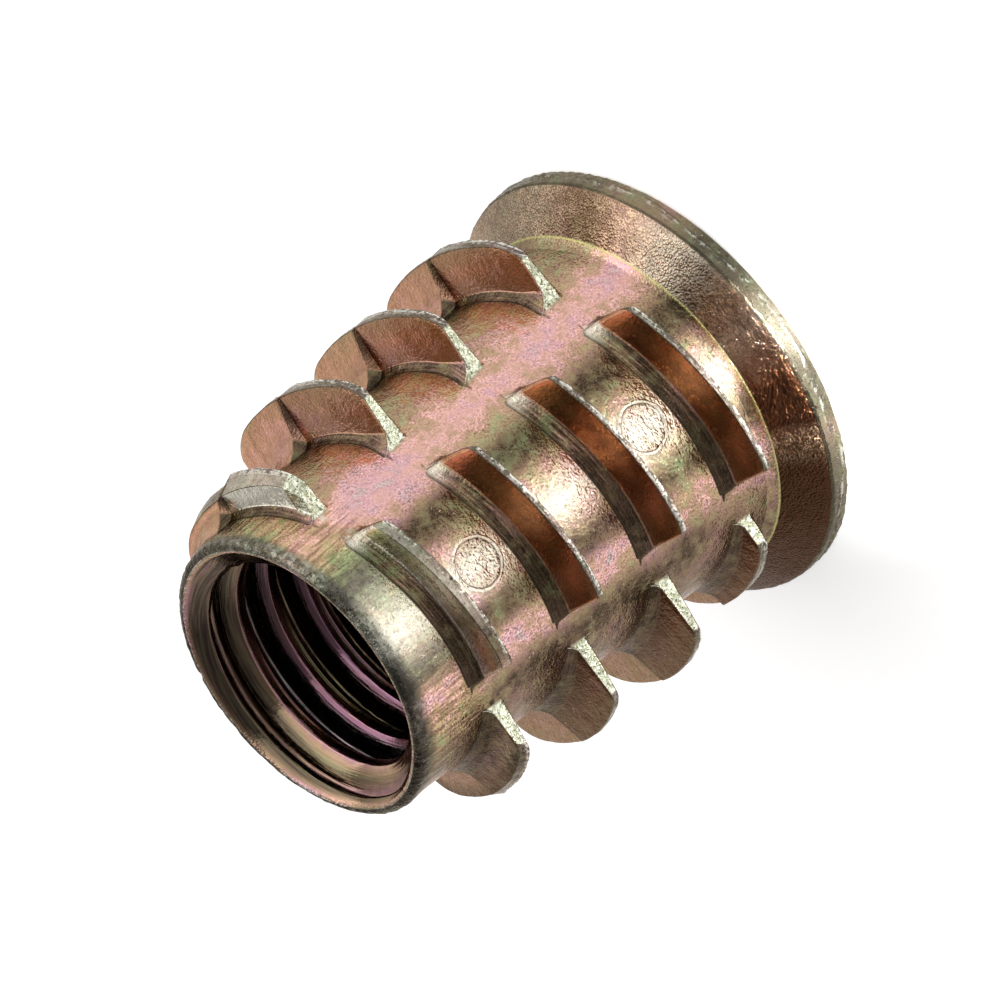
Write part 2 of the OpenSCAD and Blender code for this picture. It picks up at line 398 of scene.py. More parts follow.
add_corner(FLANGE_R - RIM_CORNER, RIM_CORNER, RIM_CORNER, -turn_in[::-1], "rim")
add_rings([FLANGE_R - RIM_CORNER, FLANGE_R - 0.3, FLANGE_R - 0.8], [0, 0, 0], "face")
print(len(rows_kind), "rows in all")

# %% The bare strips and the whole net
# Between two sectors the columns go evenly from the last of one to the first of the next
R, Z, A = np.vstack(rows_r), np.vstack(rows_z), np.vstack(rows_a)
blend = smooth(mix[gaps])
turned = A[:, after] + np.where(after < before, 360.0, 0.0)
A[:, gaps] = A[:, before] + (turned - A[:, before]) * mix[gaps]
Z[:, gaps] = Z[:, before] + (Z[:, after] - Z[:, before]) * blend
R[:, gaps] = R[:, before] + (R[:, after] - R[:, before]) * blend
on_body = np.isin(rows_kind, ("body", "fillet", "flank", "crest", "back"))
R[np.ix_(on_body, gaps)] = body_radius(Z[np.ix_(on_body, gaps)])

def around(r, z, degrees):
    """Points from their radius, height and angle."""
    return np.stack((r * np.cos(np.radians(degrees)), r * np.sin(np.radians(degrees)), z), axis=-1)

outside = around(R, Z, A)
print("outside:", outside.shape[0], "rows of", outside.shape[1])

# %% [markdown]
# ## The bore
# Inside are the key's hexagon, a floor with a cone, the machine thread and a countersink.
# The rows that carry the machine thread climb with it, one pitch a turn, so its crests and
# roots are crisp. On the side that no one sees from in front they slip back by one pitch.

# %% Machine thread
BORE_COLUMNS = 180
THREAD_PITCH = 1.25
MINOR_R, MAJOR_R = 3.3234, 4.0
SLIP_FROM, SLIP_TO = 18.0, 98.0
CREST_AT_TIP = 188.5      # degrees round, where a crest of the thread would reach the tip
SOCKET_DEPTH, SINK_DEPTH, CONE_WIDTH = 5.0, 0.55, 0.6
THREAD_FROM, THREAD_TO = 5.8, LENGTH - 1.2      # between them the rows follow the thread
theta = np.arange(BORE_COLUMNS) * 360.0 / BORE_COLUMNS
ones = np.ones(BORE_COLUMNS)
since = (theta - SLIP_TO) % 360
slip = 360 - (SLIP_TO - SLIP_FROM)
climbed = np.where(since <= slip, since, slip * (360 - since) / (360 - slip)) / 360 * THREAD_PITCH
THREAD_AT = LENGTH + THREAD_PITCH * (SLIP_TO - CREST_AT_TIP) / 360

def thread_radius(z):
    """Radius of the machine thread: flat crests, 30 degree flanks and flat roots, where the
    distance from the nearest crest, folded by the pitch, says which of them z lies on."""
    p = z - THREAD_AT - THREAD_PITCH * since / 360
    d = np.abs((p + THREAD_PITCH / 2) % THREAD_PITCH - THREAD_PITCH / 2)
    flat = THREAD_PITCH / 8
    return MINOR_R + np.clip((d - flat) * np.sqrt(3), 0, MAJOR_R - MINOR_R)

def bore_radius(z):
    """Radius of the bore: the thread, opened by the countersink and by the cone at its foot."""
    mouth = MOUTH_R - (LENGTH - z) * (MOUTH_R - MINOR_R) / SINK_DEPTH
    cone = MINOR_R + CONE_WIDTH - (z - SOCKET_DEPTH)
    fade = smooth((z - 5.05) / 0.9)
    return np.maximum(np.maximum(MINOR_R + (thread_radius(z) - MINOR_R) * fade, mouth), cone)

print("the machine thread takes", round(MAJOR_R - MINOR_R, 3), "mm from the bore's wall")

# %% Rows of the bore
flat, root = THREAD_PITCH / 8, THREAD_PITCH / 8 + (MAJOR_R - MINOR_R) / np.sqrt(3)
offsets = np.array([0, flat - 0.02, flat + 0.02, 0.35, root - 0.03, root + 0.03, 0.625])
offsets = np.concatenate((offsets, THREAD_PITCH - offsets[1:-1][::-1]))
base = (THREAD_AT - THREAD_PITCH * np.arange(8)[:, None] + offsets).ravel()
base = np.sort(base[(base > THREAD_FROM) & (base < THREAD_TO)])
thread_z = base[:, None] + climbed

def between(a, b, n):
    """n rows of heights between the rows a and b."""
    return a + (b - a) * (np.arange(1, n + 1) / (n + 1))[:, None]

foot_z = between(SOCKET_DEPTH, thread_z[0], 10)
mouth_z = between(thread_z[-1], LENGTH, 14)
bore_z = np.vstack((SOCKET_DEPTH * ones, foot_z, thread_z, mouth_z))
bore_r = bore_radius(bore_z)
print("bore:", len(bore_z), "rows of", BORE_COLUMNS)

# %% Hexagon and flange face
HEX_R, HEX_MOUTH_R = 4.0, 4.7
rounding = 0.02 * np.exp(-((theta + 30) % 60 - 30) ** 2 / 4)      # of the hexagon's corners
hex_r = HEX_R / np.cos(np.radians(theta % 60 - 30)) - rounding
meet = HEX_MOUTH_R - hex_r
socket = [(HEX_MOUTH_R + 0.4, 0.0), (HEX_MOUTH_R + 0.03, 0.0), (HEX_MOUTH_R - 0.02, 0.02),
          (HEX_MOUTH_R - meet / 2, meet / 2), (hex_r + 0.02, meet - 0.02),
          (hex_r - 0.004, meet + 0.03)]
socket += [(hex_r - 0.004, meet + (4.88 - meet) * t) for t in np.linspace(0.1, 1, 10)]
socket += [(hex_r - 0.015, 4.95), (np.maximum(hex_r - 0.07, MINOR_R + 0.62), SOCKET_DEPTH)]
socket_r = np.array([r * ones for r, z in socket])
socket_z = np.array([z * ones for r, z in socket])
inner_r = np.vstack((socket_r, bore_r, (MOUTH_R + 0.01) * ones))
inner_z = np.vstack((socket_z, bore_z, LENGTH * ones))
inside = around(inner_r, inner_z, theta)
print("inside:", inside.shape[0], "rows of", inside.shape[1])

# %% [markdown]
# ## One closed net
# The two nets have different numbers of columns, so a zip of triangles joins their rims on the
# tip and on the flange face: each edge of one rim takes the nearest vertex of the other.

# %% Faces
def net_faces(ids):
    """Quads of a net that closes round, from its grid of vertex numbers."""
    beside = np.roll(ids, -1, axis=1)
    return np.stack((ids[:-1], ids[1:], beside[1:], beside[:-1]), axis=-1).reshape(-1, 4)

def zip_faces(from_ids, from_angles, to_ids, to_angles):
    """Triangles between two rims, going from the first to the second. The middle of an edge
    of one rim, found among the middles of the other's edges, says which vertex it takes."""
    def middles(angles):
        return angles + np.diff(np.append(angles, angles[0] + 360)) / 2
    a_mid, b_mid = middles(from_angles), middles(to_angles)
    a, b = np.arange(len(from_ids)), np.arange(len(to_ids))
    b_at = np.searchsorted(b_mid, a_mid) % len(b)
    a_at = np.searchsorted(a_mid, b_mid) % len(a)
    first = np.stack((from_ids[a], to_ids[b_at], from_ids[(a + 1) % len(a)]), axis=-1)
    second = np.stack((from_ids[a_at], to_ids[b], to_ids[(b + 1) % len(b)]), axis=-1)
    return np.vstack((first, second))

def rim(ids, angles):
    """A rim's vertex numbers and angles, in order from its smallest angle in 0 to 360."""
    angles = angles % 360
    order = np.roll(np.arange(len(ids)), -int(np.argmin(angles)))
    return ids[order], angles[order]

out_count, in_count = R.size, inner_r.size
points = np.vstack((outside.reshape(-1, 3), inside.reshape(-1, 3)))
out_ids = np.arange(out_count).reshape(-1, COLUMNS)
in_ids = out_count + np.arange(in_count).reshape(-1, BORE_COLUMNS)
face_zip = zip_faces(*rim(out_ids[-1], A[-1]), *rim(in_ids[0], theta))
tip_zip = zip_faces(*rim(in_ids[-1], theta), *rim(out_ids[0], A[0]))
quads = np.vstack((net_faces(out_ids), net_faces(in_ids)))
triangles = np.vstack((face_zip, tip_zip))
print(len(points), "points,", 2 * len(quads) + len(triangles), "triangles")

# %% [markdown]
# ## Marks for the material
# The finish differs from place to place: crests are rubbed bare, the walls are painted bright
# as a highlight, and the thread's flanks are painted dark as shade. Each kind of place gets an
# attribute on the points, 0 where there is none of it and about 1 where it is full. Only film
# and lane are a thickness and a distance.

# %% Marks
MARKS = ("crest flank fillet wall under rim tip bore seam pin ridge line copper front "
         "pale still lane worn scored shade gold").split()
marks = {name: np.zeros(len(points)) for name in MARKS}
kinds = np.array(rows_kind)
own = np.zeros(COLUMNS)
own[fins] = 1.0
for name in ("crest", "flank", "fillet"):
    marks[name][out_ids[kinds == name]] = own
BURR = np.array([0, 0, 0.15, 0.5, 1, 0.9, 0.3])[:, None]     # over a crest, towards the flange
for first, over in wall_rows:
    marks["ridge"][out_ids[first + 7:first + 14]] = BURR * own
first_row = wall_rows[0][0]
marks["crest"][out_ids[first_row + 7:first_row + 11]] *= 0.25       # the lead-in cone is smooth
for name in ("under", "rim", "tip", "line"):
    marks[name][out_ids[kinds == name]] = 1.0
wall, capped = np.zeros(out_ids.shape), np.zeros(out_ids.shape)
for start_row, over in wall_rows:
    capped[start_row:start_row + FIN_ROWS] = over & (side != 0)
    wall[start_row:start_row + FIN_ROWS] = over & (side != 0) & (cap > 0.02)
edge_column = (side != 0) & (inset <= 0.004) & (cap > 1)
fin_row = np.isin(kinds, ("fillet", "flank", "crest", "back"))
wall[np.ix_(fin_row, edge_column)] = 1.0
for name in ("crest", "flank", "fillet", "ridge"):
    marks[name][out_ids] *= (1 - wall) * (1 - capped)
far_half = (facing == 90) & (foot_angle > 0.2) * (mix < 0)
marks["flank"][out_ids] += 0.8 * marks["fillet"][out_ids] * far_half
marks["fillet"][out_ids] *= 1 - 0.8 * far_half
# painted highlight: the walls that face the pull are coloured bright silver
marks["wall"][out_ids] = wall * ~is_middle       # these walls face the pull, and are bright
# the first +Y fin's facet near the tip is coloured like a wall, a painted highlight
near_tip = (facing == 90) & (mix < 0) & (inset >= 0) & (foot_angle < -34.5)
first_fin = out_ids[first_row + 3:first_row + 12]
marks["wall"][first_fin[:, near_tip]] = 0.9
marks["flank"][first_fin[:, near_tip]] = 0.0
print("marks:", ", ".join(name for name in MARKS if marks[name].any()))

# %% Seams and painted shade in creases, and the rims of the tip and the bore
parting = np.flatnonzero(~is_middle & (np.abs(foot_angle) < 0.5) & (mix < 0))
seam = np.zeros(out_ids.shape)
# the step at the parting plane is darkened: a seam and its painted shadow
seam[np.ix_(kinds == "flank", parting)] = np.where(np.abs(foot_angle[parting]) < 0.2, 0.9, 0.45)
seam[np.ix_(kinds == "fillet", parting)] = 0.3
toe_rows = [first for first, over in wall_rows]
# painted shade in the crease at each fin's toe and where its fillet meets its flank
seam[toe_rows] = 0.8 * own * (inset > 0.02)
seam[[row + 4 for row in toe_rows]] = 0.45 * own * (inset >= 0)
marks["seam"][out_ids] = seam
# painted shade on the top corner of the flange's rim
corner = (kinds == "rim") & (Z[:, 0] > 0.6)
marks["seam"][out_ids[corner]] = 0.6
marks["crest"][out_ids[0]], marks["ridge"][out_ids[0]], marks["tip"][out_ids[0]] = 1.0, 1.0, 0.0
depth = points[out_count:, 2]
marks["bore"][out_count:] = smooth((LENGTH - depth) / 0.08) * (depth > 4.9)
print("a seam on", np.count_nonzero(marks["seam"]), "points")

# %% [markdown]
# ## Roughness that can be seen
# A die casting is never smooth. Waves of random direction and length, added up, push each
# point along its own normal: long and low on the body, short and sharp on the rubbed crests.

# %% Waves
def normals_of(points, quads, triangles):
    """Unit normal at each point: the cross products of the faces round it, added up."""
    total = np.zeros_like(points)
    for faces, a, b, c, d in ((quads, 0, 2, 1, 3), (triangles, 0, 1, 0, 2)):
        corner = points[faces]
        cross = np.cross(corner[:, b] - corner[:, a], corner[:, d] - corner[:, c])
        for k in range(faces.shape[1]):
            np.add.at(total, faces[:, k], cross)
    return total / np.linalg.norm(total, axis=1, keepdims=True)

def waves(points, length, seed, count=48):
    """Sum of cosines with random directions and phases, and lengths from 0.6 to 1.7 times
    length. Most of its values are between -1 and 1."""
    rng = np.random.default_rng(seed)
    way = rng.normal(size=(count, 3))
    way /= np.linalg.norm(way, axis=1, keepdims=True)
    way *= (2 * np.pi / (length * np.exp(rng.uniform(-0.5, 0.5, count))))[:, None]
    return np.cos(points @ way.T + rng.uniform(0, 2 * np.pi, count)).sum(axis=1) / np.sqrt(count)

def spot(x, middle, width):
    """Bell curve: 1 at the middle and about a third one width away."""
    return np.exp(-((x - middle) / width) ** 2)

example = waves(points[:1000], 1.3, 1)
print("waves from", example.min().round(2), "to", example.max().round(2))

# %% The cast skin
normal = normals_of(points, quads, triangles)
outer = np.zeros(len(points))
outer[:out_count] = 1.0
push = 0.006 * outer * waves(points, 1.3, 1) + 0.0035 * outer * waves(points, 0.45, 2)
push += marks["ridge"] * (0.010 * waves(points, 0.26, 3) - 0.008)
push += marks["wall"] * 0.010 * waves(points, 0.2, 4)
# A line of flash runs round the flange's rim, where the die halves met the plate under them.
# It is broken off in places.
rise_z = points[:, 2]
flash_z = 0.34 + 0.07 * waves(points * (1, 1, 0), 2.2, 9)
unbroken = smooth(0.7 + waves(points, 1.8, 10))
torn = spot(rise_z, flash_z, 0.09 + 0.05 * waves(points, 0.7, 11))
torn *= smooth(0.8 + waves(points, 0.4, 12))
# painted shadow in a thin line just under the flash
marks["seam"] += 0.8 * marks["rim"] * spot(rise_z, flash_z - 0.06, 0.03) * (flash_z > 0) * unbroken
marks["ridge"] += marks["rim"] * torn
flash = spot(rise_z, flash_z, 0.035) * unbroken
dents = 0.03 * smooth(waves(points, 0.6, 8) - 0.9)
push += marks["rim"] * (0.045 * flash + 0.012 * waves(points, 0.3, 5) - 0.035)
push += marks["tip"] * (0.009 * waves(points, 0.3, 6) - 0.004 - dents)
shaped = points + normal * push[:, None]
print("pushed by", push.min().round(3), "to", push.max().round(3), "mm")

# %% Flared tip and pin marks
# The tip was pressed when it left the die: its rim is flared on the -X side
out_r = np.hypot(points[:, 0], points[:, 1])
way_round = np.degrees(np.arctan2(points[:, 1], points[:, 0])) % 360
flare = 0.10 * smooth((way_round - 100) / 60) * smooth((310 - way_round) / 40)
flare *= smooth((rise_z - 14.2) / 0.7)
shaped[:, :2] += (flare / out_r)[:, None] * points[:, :2]
# The die's ejector pins leave two flat discs, each with a thin raised ring
PIN_HEIGHTS, PIN_R, PIN_RING_R = (4.72, 11.15), 0.74, 0.72
for pin_z in PIN_HEIGHTS:
    reach = np.hypot(points[:, 1], rise_z - pin_z)
    on_skin = outer * (points[:, 0] > 0) * (out_r < body_radius(rise_z) + 0.02)
    disc = on_skin * smooth((PIN_R - reach) / 0.08)
    pin_x = body_radius(pin_z) - 0.03 - 0.06 * (rise_z - pin_z) * 0.5
    shaped[:, 0] += disc * (pin_x - shaped[:, 0])
    shaped[:, 0] += on_skin * 0.025 * spot(reach, PIN_RING_R, 0.06)
    marks["pin"] = np.maximum(marks["pin"], on_skin * smooth((1.0 - reach) / 0.1))
shaped = np.clip(shaped, np.array(low) / MM, np.array(high) / MM)
print("pin marks on", np.count_nonzero(marks["pin"]), "points")

# %% [markdown]
# ## Where the finish changes
# Bell curves over the height and the angle round the insert say where the film is thick,
# where it is tarnished and painted darker as shade, and where highlights are painted pale, so
# that a whole place can be moved or widened by one number. turn is the angle from the front,
# +X, and 90 is +Y.

# %% Places
def strips(x, *bells):
    """Sum of bell curves, each given as its middle, width and height."""
    return sum(height * spot(x, middle, width) for middle, width, height in bells)

def on_outside(grid):
    """A grid of rows and columns of the outside as a mark on all points."""
    return np.concatenate((np.broadcast_to(grid, out_ids.shape).ravel(), np.zeros(in_count)))

turn = np.degrees(np.arctan2(points[:, 1], points[:, 0]))
lap = turn * smooth((180 - np.abs(turn)) / 30)       # 0 where turn jumps from 180 to -180
stand = out_r - body_radius(rise_z)                  # height above the body
near_y = smooth((turn - 50) / 10) * smooth((125 - turn) / 30)      # the strip under the +Y fins
middle_fin = on_outside(is_middle)
low_side = on_outside((facing == 270) & (mix < 0))
crest, wall_mark, flank, fillet = (marks[name] for name in ("crest", "wall", "flank", "fillet"))
rim_mark, tip, under = (marks[name] for name in ("rim", "tip", "under"))
bare_body = outer * (1 - crest) * (1 - wall_mark) * (1 - flank) * (1 - fillet)
first_turn = smooth((rise_z - 12.0 - 0.3 * np.abs(turn) / 90) / 0.2)
lead_in = np.zeros(len(points))
lead_rows = slice(first_row + 6, first_row + 11)
lead_in[out_ids[lead_rows]] = own * (1 - wall[lead_rows])
marks["scored"] = bare_body * smooth((rise_z - 12.3) / 0.8)
print("bare body on", np.count_nonzero(bare_body > 0.5), "points")

# %% Thickness of the film
# It is thicker, and pink, on the strips between the fins, and thinner and green at the tip
film_mark = 0.45 + strips(turn, (41, 9, 0.26), (-28, 6, 0.208), (138, 12, 0.26), (-136, 12, 0.26),
                          (20, 8, -0.14), (-20, 10, -0.06))
film_mark -= 0.02 * fillet * middle_fin + 0.25 * rim_mark + 0.12 * tip
film_mark -= 0.40 * spot(turn, 30, 16) * spot(rise_z, 14.2, 1.2) + 0.12 * bare_body * near_y
film_mark -= flank * (0.35 * smooth((stand - 0.8) / 0.4) - 0.15 + 0.1 * first_turn)
film_mark -= 0.22 * marks["scored"] * spot(turn, 6, 22)
print("film outside:", film_mark.min().round(2), "to", film_mark.max().round(2))

# %% Tarnish and painted shade
# It lies along the fins' ends and feet, on the tip, and on the flange's underside: partly tarnish,
# and mostly painted shade and painted dark reflection
# painted shade and dark reflection: dark strips on the body beside the front fins, at the back and
# at the sides
tarnish = strips(turn, (21, 8, 0.9), (-17, 8, 0.75), (-62, 14, 0.6), (-28, 5, -0.3),
                 (160, 20, 0.35), (-160, 20, 0.35), (95, 16, 0.35), (-75, 12, 0.2))
# painted shade on the body under the +Y fins
tarnish += 0.30 * near_y
below_tip = smooth((13.5 - rise_z) / 2) * (0.4 + 0.6 * smooth((rise_z - 3) / 2))
# painted shade in a strip on the -Y side, below the tip
tarnish += 0.72 * spot(turn, -44, 9) * below_tip
tarnish *= bare_body * (1 - 0.6 * marks["pin"])
# painted shade on the flanks of the front fins and of the -Y fins
tarnish += flank * (0.15 * middle_fin * smooth((15 - lap) / 45)
                    + 0.66 * (1 - middle_fin) * (turn < 0) * (turn > -90))
# painted shade on the tip, on its -Y side and at its back
tarnish += tip * (0.75 * smooth((15 - turn) / 30) * smooth((turn + 130) / 30)
                  + 0.8 * smooth((np.abs(turn) - 90) / 30))
# painted shade in the fillets, lighter at three places round the front
unshaded = strips(turn, (34, 6, 0.8), (50, 5, 0.5), (20, 10, 0.35))
tarnish += fillet * (0.78 + 0.08 * middle_fin) * (1 - unshaded)
# painted shade on the underside, most on its front and its -Y side
tarnish += under * (strips(turn, (58, 13, 0.2), (-32, 12, -0.1)) + 0.85 * smooth((20 - lap) / 15)
                    + 0.15 * smooth((-50 - lap) / 15))
# painted shade on the ends of the middle fins, on the rim's front and on the lead-in
end = on_outside(wall * is_middle)       # these walls stand along the pull, and are dull
tarnish += rim_mark * (0.38 + 0.42 * smooth(-lap / 15)) + 0.7 * end
tarnish += lead_in * (0.3 + 0.5 * low_side)
print("tarnished:", np.count_nonzero(tarnish > 0.5), "points")

# %% Painted highlights, copper and shade
# The painted highlights are pale places where the metal catches the light, and the flanks and the
# underside are the colour of copper
tip_side = 0.5 + 0.45 * smooth((turn - 40) / 8)
# painted highlights on the underside
marks["pale"] = under * (0.9 * spot(turn, 31, 11) + 0.35 * smooth((lap - 62) / 16))
# painted highlights on the pins and down the body's front
marks["pale"] += 0.45 * marks["pin"] * spot(turn, 0, 7) + 0.62 * bare_body * spot(turn, -1, 7)
# painted highlights on the lead-in cone, on the first fin's flank, at the fillets' ends and near
# the tip
marks["pale"] += (0.35 * lead_in * smooth((turn - 40) / 8) * (turn < 89)
                  + 0.3 * lead_in * spot(turn, 30, 15))
marks["pale"] += ((1.7 * flank + 0.2 * crest) * first_turn * tip_side
                  * smooth((turn + 45) / 60) * (turn < 89))
marks["pale"] += 0.7 * fillet * spot(turn, 33, 4) + 0.46 * marks["scored"] * spot(turn, 3, 18)
# painted reflection: the flanks are painted copper brown, darker on the front fins and gold on the
# -Y fins
marks["copper"] = flank * (0.5 + 0.5 * middle_fin + 0.3 * low_side) * (1 - first_turn * (turn < 90))
marks["copper"] += under * (0.7 + 0.25 * smooth((8 - lap) / 10) - 0.15 * spot(turn, 30, 10))
marks["gold"] = low_side * flank
marks["front"] = middle_fin * (1 - 0.55 * smooth((lap - 10) / 14))
marks["shade"] = fillet * (0.25 + middle_fin * (0.6 * smooth((14 - lap) / 30) - 0.1)
                           + 0.3 * low_side)
marks["worn"] = rim_mark * (0.44 + 0.12 * smooth((35 - turn) / 25) * smooth((turn + 100) / 25))
marks["still"] = bare_body * spot(turn, 42, 12)
for name in ("pale", "copper", "shade", "worn"):
    print(name, "up to", marks[name].max().round(2))

# %% Colours of the bore
# Each turn of the thread has a flank that faces the tip, painted near black as a dark reflection,
# and flats whose film changes from turn to turn. The flats are painted lighter round one side of
# the bore and at one side of its mouth, and a thin painted highlight runs along the edge of each
# crest. p is the distance from the thread's crest, towards the tip.
p = inner_z - THREAD_AT - THREAD_PITCH * since / 360
p = (p + THREAD_PITCH / 2) % THREAD_PITCH - THREAD_PITCH / 2
deep = (LENGTH - inner_z) / THREAD_PITCH
from_120 = (theta - 120) % 360
# painted light: the flats are lighter round one side of the bore
lit_side = smooth((from_120 - 25) / 95) * (from_120 < 240)
# painted highlight along the edge of each crest
crest_edge_highlight = spot(p, 0.15, 0.035)
mouth = smooth((0.62 - deep) / 0.2)
mouth_lit = smooth((1.3 - deep) / 0.6) * spot(theta, 250, 45)
on_flank = smooth((p - 0.13) / 0.05) * smooth((0.56 - p) / 0.05) * (1 - 0.8 * mouth)
# painted dark reflection on the tip-facing flanks and painted shade on the flats, lighter at the
# mouth
bore_shade = 0.93 - 0.70 * (1 - on_flank) * lit_side * (1 - mouth)
bore_shade -= 0.8 * crest_edge_highlight * (0.3 + 0.7 * lit_side)
turned_rings = np.sin(24 * deep + 1.5 * np.sin(9 * deep))
bore_shade -= mouth_lit * (0.34 + 0.2 * turned_rings)
hue = 0.55 + 0.45 * np.sin(2 * np.pi * (1.3 * p / THREAD_PITCH + 0.31 * deep + theta / 720))
hue += np.maximum(mouth, mouth_lit) * (0.36 + 0.06 * mouth_lit + 0.18 * np.sin(15 * deep + 2) - hue)
hue += crest_edge_highlight * (0.7 - hue)
bored = marks["bore"][out_count:]
film_mark[out_count:] += bored * (hue.ravel() - film_mark[out_count:])
tarnish[out_count:] += bored * np.clip(bore_shade, 0, 1).ravel()
marks["film"], marks["tarnish"] = film_mark, np.clip(tarnish, 0, 1)
print("film with the bore:", film_mark.min().round(2), "to", film_mark.max().round(2))

# %% Lanes along the fins
# Drawn lines run along each fin, so they read the distance across it, from its foot. The
# lanes of one level are LANE_GAP from those of the next.
LANE_GAP = 5
lane = Z.copy()
for number, (first, over) in enumerate(wall_rows):
    own_rows = outside[first:first + FIN_ROWS]
    steps = np.linalg.norm(np.diff(own_rows, axis=0), axis=-1)
    lane[first + 1:first + FIN_ROWS] = np.cumsum(steps, axis=0) + LANE_GAP * number
    lane[first] = LANE_GAP * number
marks["lane"][:out_count] = lane.ravel()
marks["lane"][out_count:] = 2 * (inner_z - climbed).ravel()
print("lanes from", marks["lane"].min().round(1), "to", marks["lane"].max().round(1))

# %% The piece
def mesh_object(name, points, quads, triangles):
    """A smooth-shaded mesh object from arrays in millimetres."""
    mesh = bpy.data.meshes.new(name)
    loops = np.concatenate((quads.ravel(), triangles.ravel())).astype(np.int32)
    starts = np.append(4 * np.arange(len(quads)), quads.size + 3 * np.arange(len(triangles)))
    mesh.vertices.add(len(points))
    mesh.vertices.foreach_set("co", (points * MM).astype(np.float32).ravel())
    mesh.loops.add(len(loops))
    mesh.loops.foreach_set("vertex_index", loops)
    mesh.polygons.add(len(starts))
    mesh.polygons.foreach_set("loop_start", starts.astype(np.int32))
    mesh.update(calc_edges=True)
    mesh.validate()
    mesh.shade_smooth()
    return show(name, mesh)

insert = mesh_object("insert", shaped, quads, triangles)
for name, mark in marks.items():
    attribute = insert.data.attributes.new(name, "FLOAT", "POINT")
    attribute.data.foreach_set("value", mark.astype(np.float32))
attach(insert, "root")
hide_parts(NODE)
print("insert:", len(insert.data.vertices), "points")

# %% [markdown]
# ## The chromate finish
# Yellow chromate is a clear skin a fraction of a micron thick. Its colour follows its
# thickness, so it drifts from brass to pink, mauve and olive over a few millimetres. Four
# effects are kept as node groups, so that they could go on any casting: the film's colour,
# the grain of the cast skin, the lines drawn along a fin as it left the die, and the marks of
# the ejector pins. Each reads a position in millimetres.

# %% Node helpers
def put(socket, value):
    """Link a socket to another, or set it to a number, a vector or a colour."""
    if isinstance(value, bpy.types.NodeSocket):
        socket.id_data.links.new(value, socket)
    else:
        socket.default_value = (*value, 1.0) if socket.type == "RGBA" else value

def node(tree, kind, settings=(), *values, **named):
    """A new node. settings are its own properties, values go to its inputs in their order,
    and named ones to the inputs of those names, where _ is a space."""
    made = tree.nodes.new("ShaderNode" + kind)
    for name, value in dict(settings).items():
        setattr(made, name, value)
    for key, value in (*enumerate(values), *named.items()):
        put(made.inputs[key.replace("_", " ") if isinstance(key, str) else key], value)
    return made

def tree_of(*values):
    """The tree of the first socket among values, so that the helpers needn't be told it."""
    return next(value.id_data for value in values if isinstance(value, bpy.types.NodeSocket))

print("helpers: put, node and tree_of")

# %% Numbers and colours
def math(operation, a, b=0.0, clamp=False):
    """The result of a Math node."""
    settings = {"operation": operation, "use_clamp": clamp}
    return node(tree_of(a, b), "Math", settings, a, b).outputs[0]

def plus(a, b, clamp=False):
    return math("ADD", a, b, clamp)

def minus(a, b, clamp=False):
    return math("SUBTRACT", a, b, clamp)

def times(a, b, clamp=False):
    return math("MULTIPLY", a, b, clamp)

def remap(value, low, high, to_low=0.0, to_high=1.0):
    """value mapped from low..high to to_low..to_high, held at the ends."""
    return node(tree_of(value), "MapRange", {}, value, low, high, to_low, to_high).outputs[0]

def noise(place, scale, detail=2.0, roughness=0.5, distortion=0.0):
    """A noise value, whose scale is in patches per millimetre."""
    return node(tree_of(place), "TexNoise", {}, Vector=place, Scale=scale, Detail=detail,
                Roughness=roughness, Distortion=distortion).outputs["Fac"]

def tint(share, a, b, blend="MIX"):
    """Colour a mixed with colour b by share."""
    made = node(tree_of(share, a, b), "Mix", {"data_type": "RGBA", "blend_type": blend}, share)
    put(made.inputs[6], a)
    put(made.inputs[7], b)
    return made.outputs[2]

def ramp(value, stops):
    """A colour ramp through (position, colour) stops."""
    made = node(tree_of(value), "ValToRGB", {}, value)
    elements = made.color_ramp.elements
    for _ in stops[2:]:
        elements.new(0.5)
    for element, (position, colour) in zip(elements, stops):
        element.position, element.color = position, (*colour, 1.0)
    return made.outputs["Color"]

def scaled(place, scale):
    """A position multiplied by a scale for each of its axes."""
    return node(tree_of(place), "Mapping", {}, place, Scale=scale).outputs[0]

print("helpers: math, plus, minus, times, remap, noise, tint, ramp and scaled")

# %% Film colour
def group(name, inputs, outputs):
    """A node group: its tree, the values that it is given, and the sockets that it puts out.
    Its sockets are named in two strings, and are numbers, apart from Position and Color."""
    tree = bpy.data.node_groups.new(name, "ShaderNodeTree")
    types = {"Position": "Vector", "Color": "Color"}
    for way, labels in (("INPUT", inputs), ("OUTPUT", outputs)):
        for label in labels.split():
            kind = "NodeSocket" + types.get(label, "Float")
            tree.interface.new_socket(name=label, in_out=way, socket_type=kind)
    given = tree.nodes.new("NodeGroupInput").outputs[:len(inputs.split())]
    return tree, given, tree.nodes.new("NodeGroupOutput").inputs

film, (place, depth, darkening, grainy), out = group(
    "chromate_film", "Position Thickness Tarnish Grain", "Color")
wide = noise(place, 0.55, 2.0, 0.5, 0.4)
close = noise(place, 2.6, 2.0, 0.55, 0.3)
fine = noise(place, 17.0, 2.0, 0.75)
drift = plus(minus(wide, 0.5), times(minus(close, 0.5), 1.1))
drift = times(drift, remap(grainy, 0, 1, 0.5, 1.0))
skin = ramp(plus(depth, drift), (
    (0.00, (0.33, 0.40, 0.20)), (0.14, (0.44, 0.42, 0.24)), (0.30, (0.50, 0.37, 0.22)),
    (0.46, (0.52, 0.34, 0.24)), (0.62, (0.74, 0.44, 0.39)), (0.80, (0.67, 0.40, 0.44)),
    (1.00, (0.45, 0.47, 0.38))))
spread = times(minus(fine, 0.5), times(grainy, remap(close, 0.38, 0.60, 0.40, 1.05)))
speckle = ramp(plus(spread, 0.5), ((0.38, (0.40, 0.36, 0.30)), (0.62, (1.42, 1.42, 1.42))))
